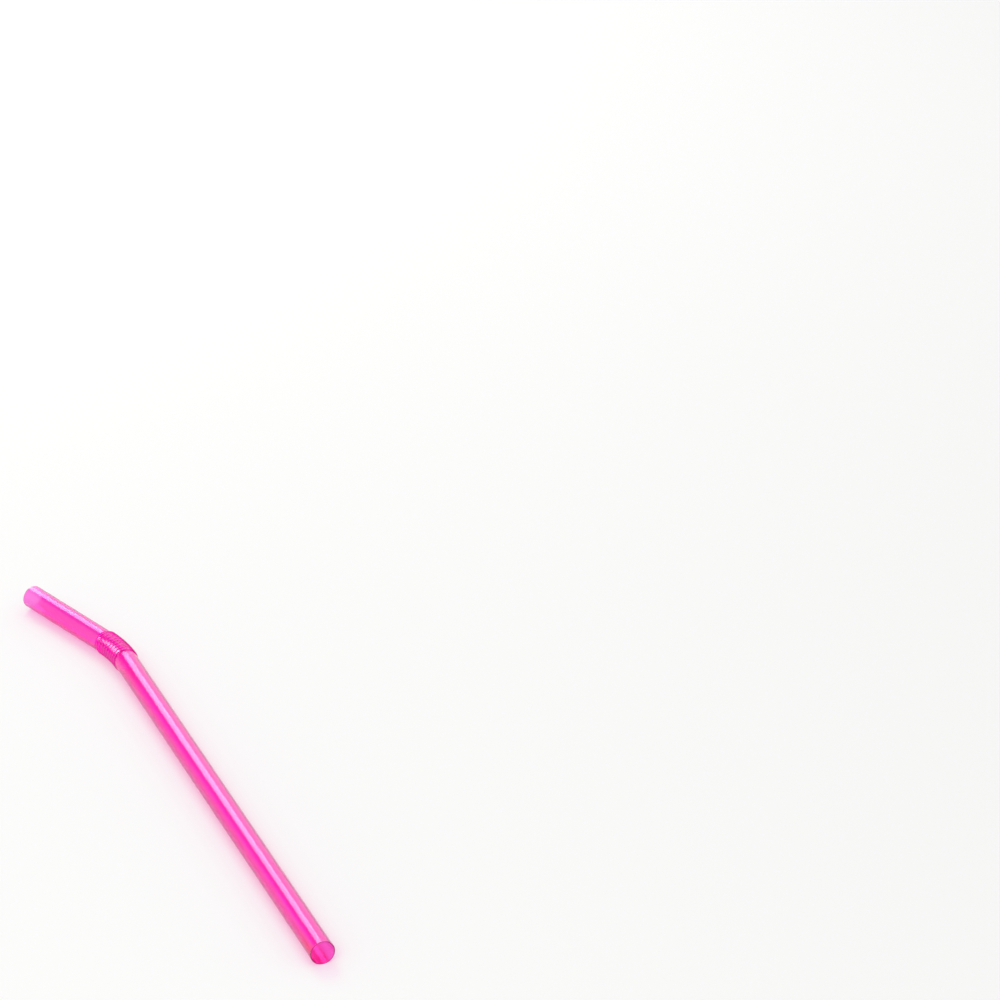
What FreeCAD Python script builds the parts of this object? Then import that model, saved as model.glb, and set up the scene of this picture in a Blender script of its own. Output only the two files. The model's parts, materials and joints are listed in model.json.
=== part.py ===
import FreeCAD, Part
import math
import os

# Flexible drinking straw: one thin-walled polypropylene tube, bent at its folded bellows.
# It lies on its side, as it comes to rest on a table. Millimetres, +Z up, the long tube along Y.

# Tube: extruded with one bore and one wall from end to end
tube_od = 6.0
wall = 0.18
long_tube = 150.5
short_tube = 33.2

# Bellows: rings of folds rolled into the tube between its two straight legs
fold_count = 9
fold_pitch = 1.36
crest_rise = 0.35
root_drop = 0.3
long_flank_share = 0.6
fold_flat = 0.08
collar_run = 0.5
bend_deg = 18.0

tube_r = tube_od / 2
crest_r = tube_r + crest_rise
root_r = tube_r - root_drop
half_wall = wall / 2
end_lead = wall
crest_flat = fold_flat + half_wall
first_crest = end_lead + collar_run + crest_flat / 2
last_crest = first_crest + (fold_count - 1) * fold_pitch
last_root = last_crest + (1 - long_flank_share) * fold_pitch
last_climb = (long_flank_share * fold_pitch - crest_flat) * root_drop / (crest_rise + root_drop)
bellows_length = last_root + crest_flat / 2 + last_climb + end_lead
bend_radius = bellows_length / math.radians(bend_deg)
up = FreeCAD.Vector(0, 0, 1)


def station(along):
    """Centre and direction of the tube, a distance along its bent axis from the bellows' first end."""
    turn = min(max(along, 0.0), bellows_length) / bend_radius
    direction = FreeCAD.Vector(-math.sin(turn), math.cos(turn), 0)
    on_arc = FreeCAD.Vector(math.cos(turn) - 1, math.sin(turn), 0) * bend_radius
    return on_arc + direction * (along - turn * bend_radius), direction


def ring(along, radius):
    """A circle round the tube's axis, square to it, that starts at its top."""
    centre, direction = station(along)
    side = direction.cross(up)
    circle = Part.Circle(centre + up * radius, centre + side * radius, centre - up * radius)
    return Part.Wire([circle.toShape()])


def middle_line():
    """Corners (distance along, radius) of the middle of the wall through the bellows.

    The wall climbs from the long tube to the first crest, a collar. Each fold then drops to a root
    by its short flank and climbs by its long one, as two cones do, and each crease is flat for
    crest_flat. The last long flank stops at the short tube.
    """
    tube = tube_r - half_wall
    crest = crest_r - half_wall
    root = root_r - half_wall
    corners = [(0.0, tube), (end_lead, tube)]
    for fold in range(fold_count):
        top = first_crest + fold * fold_pitch
        bottom = top + (1 - long_flank_share) * fold_pitch
        corners += [(top - crest_flat / 2, crest), (top + crest_flat / 2, crest)]
        corners += [(bottom - crest_flat / 2, root), (bottom + crest_flat / 2, root)]
    corners += [(bellows_length - end_lead, tube), (bellows_length, tube)]
    return corners


def beside(line, offset):
    """The same line moved sideways by offset, away from the axis, with its corners mitred."""
    angles = [math.atan2(b[1] - a[1], b[0] - a[0]) for a, b in zip(line, line[1:])]
    before = [angles[0]] + angles
    after = angles + [angles[-1]]
    moved = []
    for (along, radius), a, b in zip(line, before, after):
        normal = (a + b) / 2
        reach = offset / math.cos((b - a) / 2)
        moved.append((along - reach * math.sin(normal), radius + reach * math.cos(normal)))
    return moved


def skin(line):
    """A closed solid whose side is the line carried round the bent axis, as a row of cones."""
    return Part.makeLoft([ring(along, radius) for along, radius in line], True, True)


def leg(start, end):
    """A straight stretch of tube between two stations."""
    walls = Part.Face([ring(start, tube_r), ring(start, tube_r - wall)])
    return walls.extrude(station(end)[0] - station(start)[0])


def bellows():
    """The folded stretch, open from end to end."""
    line = middle_line()
    return skin(beside(line, half_wall)).cut(skin(beside(line, -half_wall)))


def laid(shape):
    """The straw at rest: on its first and last crests and on the rim of its lower mouth.

    The crests stand proud of the tube, so the long leg slopes down from them to its mouth. The
    short leg stays just clear of the table. The origin is under the middle, on the table.
    """
    pivot = station(first_crest)[0]
    crests = (station(last_crest)[0] - pivot).normalize()
    mouth_arm = (station(-long_tube)[0] - pivot).cross(crests).Length
    slope = math.asin(crest_rise / mouth_arm)
    shape.rotate(pivot, crests, -math.degrees(slope))
    box = shape.optimalBoundingBox(True)
    shape.translate(FreeCAD.Vector(-box.Center.x, -box.Center.y, -box.ZMin))
    return shape


lower_leg = leg(-long_tube, 0.0)
upper_leg = leg(bellows_length, bellows_length + short_tube)
straw = lower_leg.fuse([bellows(), upper_leg])
drinking_straw = laid(straw.Solids[0])
os.makedirs("parts", exist_ok=True)
drinking_straw.exportStep("parts/drinking_straw.step")
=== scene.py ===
import json
import math

import bpy
import numpy as np
from mathutils import Matrix, Vector


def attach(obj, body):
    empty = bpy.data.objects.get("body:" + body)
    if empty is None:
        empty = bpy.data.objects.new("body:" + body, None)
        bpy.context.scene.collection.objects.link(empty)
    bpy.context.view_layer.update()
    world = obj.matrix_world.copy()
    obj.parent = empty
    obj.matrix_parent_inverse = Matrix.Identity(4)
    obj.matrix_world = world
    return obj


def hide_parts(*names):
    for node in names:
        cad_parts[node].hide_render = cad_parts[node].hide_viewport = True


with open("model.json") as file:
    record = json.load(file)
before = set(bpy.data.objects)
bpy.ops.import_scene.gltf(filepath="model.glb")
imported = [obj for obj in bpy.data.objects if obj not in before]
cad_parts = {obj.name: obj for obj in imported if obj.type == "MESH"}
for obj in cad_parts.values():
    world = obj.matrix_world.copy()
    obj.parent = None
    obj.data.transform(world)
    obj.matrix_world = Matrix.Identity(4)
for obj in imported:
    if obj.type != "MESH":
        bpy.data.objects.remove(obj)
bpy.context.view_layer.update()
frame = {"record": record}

mounts = {mount["name"]: mount for mount in frame["record"]["mounts"]}
MM = 0.001

# Camera. A long lens well back from the table, looking down on the straw past its lower mouth.
# The straw's lower mouth falls at one place of the square picture, and that fixes the camera.
PICTURE = 1000.0
FOCAL = 4246.0
SENSOR = 36.0
MOUTH_ACROSS, MOUTH_DOWN = 322.7, 952.9
MOUTH_AWAY = 0.973
LOOK_DOWN = math.radians(26.0)
LOOK_RIGHT = math.radians(21.73)

ahead = Vector((math.sin(LOOK_RIGHT) * math.cos(LOOK_DOWN),
                math.cos(LOOK_RIGHT) * math.cos(LOOK_DOWN),
                -math.sin(LOOK_DOWN)))
right = Vector((math.cos(LOOK_RIGHT), -math.sin(LOOK_RIGHT), 0.0))
above = right.cross(ahead)
across = (MOUTH_ACROSS - PICTURE / 2) / FOCAL
down = (MOUTH_DOWN - PICTURE / 2) / FOCAL
ray = ahead + right * across - above * down
lens = bpy.data.cameras.new("camera")
lens.sensor_width = SENSOR
lens.lens = SENSOR * FOCAL / PICTURE
lens.clip_start, lens.clip_end = 0.01, 20.0
camera = bpy.data.objects.new("camera", lens)
camera.location = Vector(mounts["lower_bore"]["pos_m"]) - ray.normalized() * MOUTH_AWAY
camera.rotation_mode = "QUATERNION"
camera.rotation_quaternion = Matrix((right, above, -ahead)).transposed().to_quaternion()
bpy.context.scene.collection.objects.link(camera)
bpy.context.scene.camera = camera
bpy.context.scene.view_settings.view_transform = "Standard"


def linear(hex_colour):
    """A linear colour with alpha 1 from an sRGB hex string."""
    parts = [int(hex_colour[i:i + 2], 16) / 255 for i in (1, 3, 5)]
    return [c / 12.92 if c <= 0.04045 else ((c + 0.055) / 1.055) ** 2.4 for c in parts] + [1.0]


def add(tree, kind, links=None, **settings):
    """A node of this kind. Settings name its properties or sockets; links give a socket its source."""
    made = tree.nodes.new("ShaderNode" + kind)
    for name, value in settings.items():
        if hasattr(made, name):
            setattr(made, name, value)
        else:
            made.inputs[name.replace("_", " ")].default_value = value
    for name, source in (links or {}).items():
        tree.links.new(source, made.inputs[name])
    return made


# Table and studio. A smooth white laminate sweep under two softboxes, the key behind the straw and
# a smaller one in front, in a pale room. The floor keeps the soft shadow. Reflections see the room
# dark pink with five soft glows, which draw the long streaks and the dashes on the folds.
TABLE_SIZE = 8.0
TABLE_LIFT = 0.2
ROOM_LIGHT = 0.67
BACK_WAY = (0.3746, 0.9272, 0.35)
SIDE_WAY = (-1.0, 0.5, 0.2)
FRONT_WAY = (0.51, -0.43, 0.74)
LEFT_WAY = (-0.51, -0.63, 0.59)
TOP_WAY = (0.55, 0.15, 0.82)
# Each glow: its way, the cosine from its way where it starts and where it is full, its strength.
GLOWS = ((BACK_WAY, 0.85, 0.99, 1.5), (SIDE_WAY, 0.80, 0.90, 1.1), (FRONT_WAY, 0.84, 0.96, 2.6),
         (LEFT_WAY, 0.93, 0.98, 10.0), (TOP_WAY, 0.94, 0.99, 3.2))
KEY_SIZE, KEY_POWER = (0.48, 0.42), 2.8
KEY_TURN, KEY_RISE = math.radians(2.1), math.radians(40.0)
FRONT_SIZE, FRONT_POWER = (0.40, 0.40), 2.4
FRONT_TURN, FRONT_RISE = math.radians(-141.0), math.radians(43.0)
LAMP_AWAY = 1.0

sweep = bpy.data.meshes.new("table")
half = TABLE_SIZE / 2
sweep_corners = [(-half, -half, 0), (half, -half, 0), (half, half, 0), (-half, half, 0)]
sweep.from_pydata(sweep_corners, [], [(0, 1, 2, 3)])
table = bpy.data.objects.new("table", sweep)
bpy.context.scene.collection.objects.link(table)
laminate = bpy.data.materials.new("white_laminate")
laminate.use_nodes = True
tree = laminate.node_tree
tree.nodes.clear()
path = add(tree, "LightPath")
seen = add(tree, "Math", {0: path.outputs["Is Camera Ray"], 1: path.outputs["Is Transmission Ray"]},
           operation="MAXIMUM")
seen = add(tree, "Math", {0: seen.outputs[0], 1: path.outputs["Is Glossy Ray"]}, operation="MAXIMUM")
lift = add(tree, "Math", {0: seen.outputs[0]}, operation="MULTIPLY")
lift.inputs[1].default_value = TABLE_LIFT
matt = add(tree, "BsdfPrincipled", Base_Color=linear("#fbfbfa"), Roughness=0.9, Specular_IOR_Level=0.0)
white = add(tree, "Emission", Color=linear("#ffffff"), Strength=1.0)
top = add(tree, "MixShader", {0: lift.outputs[0], 1: matt.outputs[0], 2: white.outputs[0]})
add(tree, "OutputMaterial", {"Surface": top.outputs[0]})
sweep.materials.append(laminate)

world = bpy.data.worlds.new("room")
bpy.context.scene.world = world
world.use_nodes = True
tree = world.node_tree
tree.nodes.clear()
path = add(tree, "LightPath")
seen = add(tree, "Math", {0: path.outputs["Is Camera Ray"], 1: path.outputs["Is Transmission Ray"]},
           operation="MAXIMUM")
where = add(tree, "TexCoord")
glows = []
for way, least, most, strength in GLOWS:
    near = add(tree, "VectorMath", {0: where.outputs["Generated"]}, operation="DOT_PRODUCT")
    near.inputs[1].default_value = Vector(way).normalized()
    glows.append(add(tree, "MapRange", {"Value": near.outputs["Value"]}, From_Min=least, From_Max=most,
                     To_Max=strength, interpolation_type="SMOOTHSTEP"))
glow = glows[0]
for other in glows[1:]:
    glow = add(tree, "Math", {0: glow.outputs[0], 1: other.outputs[0]}, operation="MAXIMUM")
mirrored = add(tree, "Background", {"Strength": glow.outputs[0]}, Color=linear("#ffffff"))
dark = add(tree, "Background", Color=linear("#e82494"), Strength=1.0)
mirrored = add(tree, "AddShader", {0: mirrored.outputs[0], 1: dark.outputs[0]})
soft = add(tree, "Background", Color=linear("#ffffff"), Strength=ROOM_LIGHT)
bright = add(tree, "Background", Color=linear("#ffffff"), Strength=1.0)
lit = add(tree, "MixShader",
          {0: path.outputs["Is Glossy Ray"], 1: soft.outputs[0], 2: mirrored.outputs[0]})
mixed = add(tree, "MixShader", {0: seen.outputs[0], 1: lit.outputs[0], 2: bright.outputs[0]})
add(tree, "OutputWorld", {"Surface": mixed.outputs[0]})


def softbox(name, size, power, turn, rise):
    """A rectangular lamp LAMP_AWAY from the straw's middle, turned from +Y towards +X, facing it."""
    box = bpy.data.lights.new(name, "AREA")
    box.shape = "RECTANGLE"
    box.size, box.size_y = size
    box.energy = power
    lamp = bpy.data.objects.new(name, box)
    toward = Vector((math.sin(turn) * math.cos(rise),
                     math.cos(turn) * math.cos(rise),
                     math.sin(rise)))
    lamp.location = toward * LAMP_AWAY
    lamp.rotation_mode = "QUATERNION"
    lamp.rotation_quaternion = toward.to_track_quat("Z", "Y")
    bpy.context.scene.collection.objects.link(lamp)


softbox("key_softbox", KEY_SIZE, KEY_POWER, KEY_TURN, KEY_RISE)
softbox("front_softbox", FRONT_SIZE, FRONT_POWER, FRONT_TURN, FRONT_RISE)

# Straw. One tube of dyed polypropylene, extruded with a thin even wall and then rolled into folds
# between its two legs. It is bent at those folds, and both its ends are cut square.
WALL = 0.18 * MM
CREST_RADIUS = 3.35 * MM
ROOT_RADIUS = 2.70 * MM
FOLDS = 9
FOLD_PITCH = 1.36 * MM
FIRST_CREST = 0.765 * MM
LONG_FLANK_SHARE = 0.6
CREASE_ROUND = 0.33 * MM
LIP_ROUND = 0.04 * MM
LIP_REACH = 1.001 * LIP_ROUND
FOLD_EDGE = 0.2 * MM
# Painted shade: a darker line at each fold crest and at the collar, its reach and strengths.
CREASE_SHADE_REACH = 0.42 * MM
CREST_SHADE, COLLAR_SHADE = 1.5, 0.9
COLLAR_MIDDLE = 0.45 * FIRST_CREST
# Strength of a painted glow on the bellows' inner wall.
INNER_PAINTED_GLOW = 0.6
# Painted shade: one side inside the lower mouth deeper pink, fading with depth.
MOUTH_SHADE_LEVEL, MOUTH_DEPTH = 1.3, 9.0 * MM
MOUTH_SHADE_SIDE = (-2.1, 0.0, -2.1)
AROUND = 96
ALONG_FOLDS = 290
ALONG_LOWER = 40
ALONG_UPPER = 12
AROUND_LIP = 5
CREASE_TAPS = 21
PAST_END, PAST_FOLDS = 2.0 * MM, 0.4 * MM

lower, upper = mounts["long_leg_outside"], mounts["short_leg_outside"]
TUBE_RADIUS = lower["dims"]["r_mm"] * MM
LOWER_LEG = lower["dims"]["length_mm"] * MM
UPPER_LEG = upper["dims"]["length_mm"] * MM
lower_way = -np.array(lower["axis"])
upper_way = np.array(upper["axis"])
bend_from = np.array(lower["pos_m"]) + lower_way * LOWER_LEG
bend_to = np.array(upper["pos_m"]) - upper_way * UPPER_LEG
BEND = math.acos(lower_way @ upper_way)
BEND_RADIUS = np.linalg.norm(bend_to - bend_from) / (2 * math.sin(BEND / 2))
BELLOWS = BEND * BEND_RADIUS
bend_axis = np.cross(lower_way, upper_way) / math.sin(BEND)
bend_side = np.cross(bend_axis, lower_way)


def axis_frame(along):
    """Centre and inward side of the tube at each distance along its bent axis.

    The axis is a straight line up to 0, an arc of radius BEND_RADIUS up to BELLOWS, and a straight
    line again. Its way is the lower leg's, turned by the arc's angle towards bend_side, and the
    inward side is square to it.
    """
    turn = np.clip(along, 0.0, BELLOWS) / BEND_RADIUS
    cos, sin = np.cos(turn)[:, None], np.sin(turn)[:, None]
    way = lower_way * cos + bend_side * sin
    side = bend_side * cos - lower_way * sin
    arc = BEND_RADIUS * (lower_way * sin + bend_side * (1 - cos))
    return bend_from + arc + way * (along - turn * BEND_RADIUS)[:, None], side


def folded_wall():
    """Distance along and radius of the middle of the wall through the bellows.

    The wall rises to the first crest, a collar. From each crest it drops to a root by a short flank
    and climbs by a long one, as two cones do, and the last climb ends at the upper leg. The line
    is smoothed by a moving average as wide as a crease, after each corner is moved out by what
    the average takes off it.
    """
    crest, root, tube = CREST_RADIUS - WALL / 2, ROOT_RADIUS - WALL / 2, TUBE_RADIUS - WALL / 2
    tops = FIRST_CREST + FOLD_PITCH * np.arange(FOLDS)
    bottoms = tops + (1 - LONG_FLANK_SHARE) * FOLD_PITCH
    corners = np.concatenate([[-WALL, WALL], tops, bottoms, [BELLOWS - WALL, BELLOWS + WALL]])
    heights = np.concatenate([[tube] * 2, np.full(FOLDS, crest), np.full(FOLDS, root), [tube] * 2])
    order = np.argsort(corners)
    corners, heights = corners[order], heights[order]
    taps = np.linspace(-1.0, 1.0, CREASE_TAPS)[:, None]
    weight = np.cos(taps * math.pi / 2)

    def smoothed(along, heights):
        spread = np.interp(along + taps * CREASE_ROUND, corners, heights)
        return (spread * weight).sum(0) / weight.sum()

    along = np.linspace(0.0, BELLOWS, ALONG_FOLDS)
    return along, smoothed(along, 2 * heights - smoothed(corners, heights))


def straw_section():
    """The closed line round the wall's section, as distance along and radius, out and back.

    Both sides lie half a wall from the middle line, square to it. A quarter circle of LIP_ROUND
    rounds each of the four edges of the two cut ends.
    """
    fold_along, fold_radius = folded_wall()
    tube = TUBE_RADIUS - WALL / 2
    tip = LIP_ROUND * 1.01
    lower_leg = np.concatenate([[-LOWER_LEG + tip, -LOWER_LEG + 4 * tip],
                                np.linspace(-LOWER_LEG + PAST_END, -PAST_FOLDS, ALONG_LOWER)])
    top = BELLOWS + UPPER_LEG
    upper_leg = np.concatenate([np.linspace(BELLOWS + PAST_FOLDS, top - PAST_END, ALONG_UPPER),
                                [top - 4 * tip, top - tip]])
    along = np.concatenate([lower_leg, fold_along, upper_leg])
    radius = np.full(len(along), tube)
    radius[len(lower_leg):-len(upper_leg)] = fold_radius
    slope = np.arctan(np.gradient(radius, along))
    slope[:len(lower_leg)] = slope[-len(upper_leg):] = 0.0
    outside = np.stack([along - np.sin(slope) * WALL / 2, radius + np.cos(slope) * WALL / 2], 1)
    inside = np.stack([along + np.sin(slope) * WALL / 2, radius - np.cos(slope) * WALL / 2], 1)
    turn = np.linspace(0.0, math.pi / 2, AROUND_LIP)
    quarter = np.stack([np.sin(turn), np.cos(turn)], 1) * LIP_ROUND
    far, near = top - LIP_ROUND, -LOWER_LEG + LIP_ROUND
    high, low = TUBE_RADIUS - LIP_ROUND, TUBE_RADIUS - WALL + LIP_ROUND
    lip_out = quarter + (far, high)
    lip_in = (quarter * (1, -1))[::-1] + (far, low)
    heel_in = quarter * (-1, -1) + (near, low)
    heel_out = (quarter * (-1, 1))[::-1] + (near, high)
    return np.concatenate([outside, lip_out, lip_in, inside[::-1], heel_in, heel_out])


def straw_marks(section, out):
    """What the material reads at each point of the section and each angle round it, from 0 to 1.

    folds is 1 between the legs and falls in a straight line over FOLD_EDGE. The crease mark, which
    carries painted shade, is 1 at each crest and weaker at the collar, and falls in a straight line
    to 0 at the crease shade's reach from them. lips is 1 on the rounded edges of both ends, which
    are painted darker as shade. The inside mark is the strength of a painted glow on the bellows'
    inner wall. The mouth mark, which carries painted shade, is 1 in the lower mouth on the side that
    faces the mouth shade's side, and falls with the depth.
    The bore is the second half of the section's rows.
    """
    reach = section[:, 0]
    bore = (np.arange(len(section)) > len(section) / 2) * 1.0
    folds = np.clip(np.minimum(reach, BELLOWS - reach) / FOLD_EDGE + 0.5, 0.0, 1.0)
    # Painted shade at the crests and the collar, strongest on them and falling away.
    crest = np.abs(reach[:, None] - FIRST_CREST - FOLD_PITCH * np.arange(FOLDS)).min(1)
    collar = np.abs(reach - COLLAR_MIDDLE)
    shaded_creases = np.maximum(CREST_SHADE * (1 - crest / CREASE_SHADE_REACH),
                         COLLAR_SHADE * (1 - collar / CREASE_SHADE_REACH))
    shaded_creases = np.clip(shaded_creases, 0.0, 1.0) * folds
    lips = np.minimum(reach + LOWER_LEG, BELLOWS + UPPER_LEG - reach) < LIP_REACH
    # Painted shade inside the lower mouth, on one side, fading with depth.
    depth = np.clip(MOUTH_SHADE_LEVEL - (reach + LOWER_LEG) / MOUTH_DEPTH, 0.0, 1.0)
    ends = np.clip(out @ MOUTH_SHADE_SIDE, 0.0, 1.0) * (bore * depth)[:, None]
    # The inside mark carries the painted glow on the bellows' inner wall.
    marks = {"folds": folds, "shaded_creases": shaded_creases, "lips": lips, "inside": INNER_PAINTED_GLOW * bore * folds}
    marks = {layer: np.repeat(values[:, None], AROUND, 1) for layer, values in marks.items()}
    marks["ends"] = ends
    return marks


def straw_mesh(name):
    """The section carried round the bent axis, with its UV map "tube" and its marks.

    Each point is its centre plus its radius times the direction at its angle between the inward
    side and the bend's own axis. The map is the share of a turn, and the way along in millimetres.
    """
    section = straw_section()
    centre, side = axis_frame(section[:, 0])
    angle = np.linspace(0.0, 2 * math.pi, AROUND, endpoint=False)
    out = np.cos(angle)[None, :, None] * side[:, None] + np.sin(angle)[None, :, None] * bend_axis
    points = centre[:, None] + out * section[:, 1][:, None, None]
    rows = np.arange(len(section))
    columns = np.arange(AROUND)
    here, there = rows[:, None] * AROUND, (rows[:, None] + 1) % len(rows) * AROUND
    beside = (columns + 1) % AROUND
    quads = np.stack([here + columns, here + beside, there + beside, there + columns], -1)
    mesh = bpy.data.meshes.new(name)
    mesh.from_pydata(points.reshape(-1, 3).tolist(), [], quads.reshape(-1, 4).tolist())
    across = np.stack([columns, columns + 1, columns + 1, columns], -1) / AROUND
    along = np.stack([section[:, 0], np.roll(section[:, 0], -1)], 1)[:, [0, 0, 1, 1]]
    uv = np.zeros((len(rows), AROUND, 4, 2))
    uv[..., 0] = across[None]
    uv[..., 1] = along[:, None] / MM
    mesh.uv_layers.new(name="tube").data.foreach_set("uv", uv.ravel())
    for layer, values in straw_marks(section, out).items():
        made = mesh.attributes.new(layer, "FLOAT", "POINT")
        made.data.foreach_set("value", values.ravel() * 1.0)
    mesh.shade_smooth()
    return mesh


straw = bpy.data.objects.new("straw_wall", straw_mesh("straw_wall"))
bpy.context.scene.collection.objects.link(straw)

# Dyed polypropylene, extruded. The dye in the wall's depth gives the eye a clear hot pink that
# deepens where walls overlap. The die leaves a soft gloss and faint lines along the tube, about
# 0.5 mm wide here, coarser than real, so that they show. The rolled folds look hazy and carry a
# painted glow that brightens them and their inner wall, with a line of painted shade at each
# crest and at the collar. Inside the lower mouth one side is painted a deeper pink as shade, and
# the rounded edges of both cut ends are painted darker as shade.
DYE_DENSITY, DYE_PINK = 7640.0, linear("#ff00ed")
PALE, PALER = linear("#fff2fb"), linear("#fffafd")
# The crest pink is painted shade; the inner pink colours a painted glow.
FOLD_PINK, CREST_SHADE_PINK, INNER_GLOW_PINK = linear("#ff14bc"), linear("#a4006e"), linear("#ff4ce0")
# The mouth pink and the lip pink are painted shade.
MOUTH_SHADE_PINK, LIP_SHADE_PINK = linear("#ff3090"), linear("#c0187a")
DIE_LINES_ROUND, DIE_LINES_PER_MM = 40.0, 0.03
HAZE_START, CLEAR_SHARE, HAZY_SHARE = 0.3, 0.99, 0.25
# Strength of a painted glow that brightens the folds.
FOLD_PAINTED_GLOW = 0.24
GLOSSY, SOFTER, CREASE_ROUGH = 0.12, 0.20, 0.12

pink = bpy.data.materials.new("extruded_pink_polypropylene")
pink.use_nodes = True
tree = pink.node_tree
tree.nodes.clear()
place = add(tree, "UVMap", uv_map="tube")
drawn = add(tree, "Mapping", {"Vector": place.outputs[0]},
            Scale=(DIE_LINES_ROUND, DIE_LINES_PER_MM, 1.0))
lines = add(tree, "TexNoise", {"Vector": drawn.outputs[0]}, Scale=1.0, Detail=3.0)
clear = add(tree, "MixRGB", {"Fac": lines.outputs[0]}, Color1=PALE, Color2=PALER)
folds = add(tree, "Attribute", attribute_name="folds")
shaded_creases = add(tree, "Attribute", attribute_name="shaded_creases")
lips = add(tree, "Attribute", attribute_name="lips")
# Mask of the painted glow on the bellows' inner wall.
inner = add(tree, "Attribute", attribute_name="inside")
# Mask of the painted shade inside the lower mouth.
ends = add(tree, "Attribute", attribute_name="ends")
# Painted shade: the folds' colour darkens towards each crest and the collar.
shaded_ribs = add(tree, "MixRGB", {"Fac": shaded_creases.outputs["Fac"]}, Color1=FOLD_PINK, Color2=CREST_SHADE_PINK)
early = add(tree, "MapRange", {"Value": folds.outputs["Fac"]}, From_Max=HAZE_START)
tint = add(tree, "MixRGB",
           {"Fac": early.outputs[0], "Color1": clear.outputs[0], "Color2": shaded_ribs.outputs[0]})
# Painted shade: one side inside the lower mouth turns deeper pink.
tint = add(tree, "MixRGB", {"Fac": ends.outputs["Fac"], "Color1": tint.outputs[0]}, Color2=MOUTH_SHADE_PINK)
# Painted shade: the rounded edges of both cut ends darker.
tint = add(tree, "MixRGB", {"Fac": lips.outputs["Fac"], "Color1": tint.outputs[0]}, Color2=LIP_SHADE_PINK)
# Colour of the painted glow: the folds' pink, turning to the inner pink on the bellows' inner wall.
painted_glow_colour = add(tree, "MixRGB", {"Fac": inner.outputs["Fac"], "Color1": shaded_ribs.outputs[0]},
            Color2=INNER_GLOW_PINK)
solid = add(tree, "Math", {0: folds.outputs["Fac"], 1: lips.outputs["Fac"]}, operation="MAXIMUM")
haze = add(tree, "MapRange", {"Value": solid.outputs[0]}, From_Min=HAZE_START,
           To_Min=CLEAR_SHARE, To_Max=HAZY_SHARE)
# Painted glow through emission, on the folds and stronger on the bellows' inner wall.
painted_glow = add(tree, "MapRange", {"Value": folds.outputs["Fac"]}, To_Max=FOLD_PAINTED_GLOW)
painted_glow = add(tree, "Math", {0: inner.outputs["Fac"], 1: painted_glow.outputs[0]}, operation="MAXIMUM")
gloss = add(tree, "MapRange", {"Value": lines.outputs[0]}, To_Min=GLOSSY, To_Max=SOFTER)
bruised = add(tree, "MapRange", {"Value": shaded_creases.outputs["Fac"]}, To_Max=CREASE_ROUGH)
gloss = add(tree, "Math", {0: gloss.outputs[0], 1: bruised.outputs[0]}, operation="ADD")
ridge = add(tree, "Bump", {"Height": lines.outputs[0]}, Strength=0.02, Distance=0.0001)
plastic = add(tree, "BsdfPrincipled",
              {"Base Color": tint.outputs[0], "Roughness": gloss.outputs[0], "Normal": ridge.outputs[0],
               "Transmission Weight": haze.outputs[0], "Emission Strength": painted_glow.outputs[0],
               "Emission Color": painted_glow_colour.outputs[0]}, IOR=1.49)
film = add(tree, "BsdfTransparent", Color=linear("#fdfdfd"))
path = add(tree, "LightPath")
shaded = add(tree, "MixShader",
             {0: path.outputs["Is Shadow Ray"], 1: plastic.outputs[0], 2: film.outputs[0]})
wall = add(tree, "MixShader",
           {0: path.outputs["Is Diffuse Ray"], 1: shaded.outputs[0], 2: film.outputs[0]})
dye = add(tree, "VolumeAbsorption", Color=DYE_PINK, Density=DYE_DENSITY)
add(tree, "OutputMaterial", {"Surface": wall.outputs[0], "Volume": dye.outputs[0]})
straw.data.materials.append(pink)

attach(straw, "root")
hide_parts("drinking_straw")
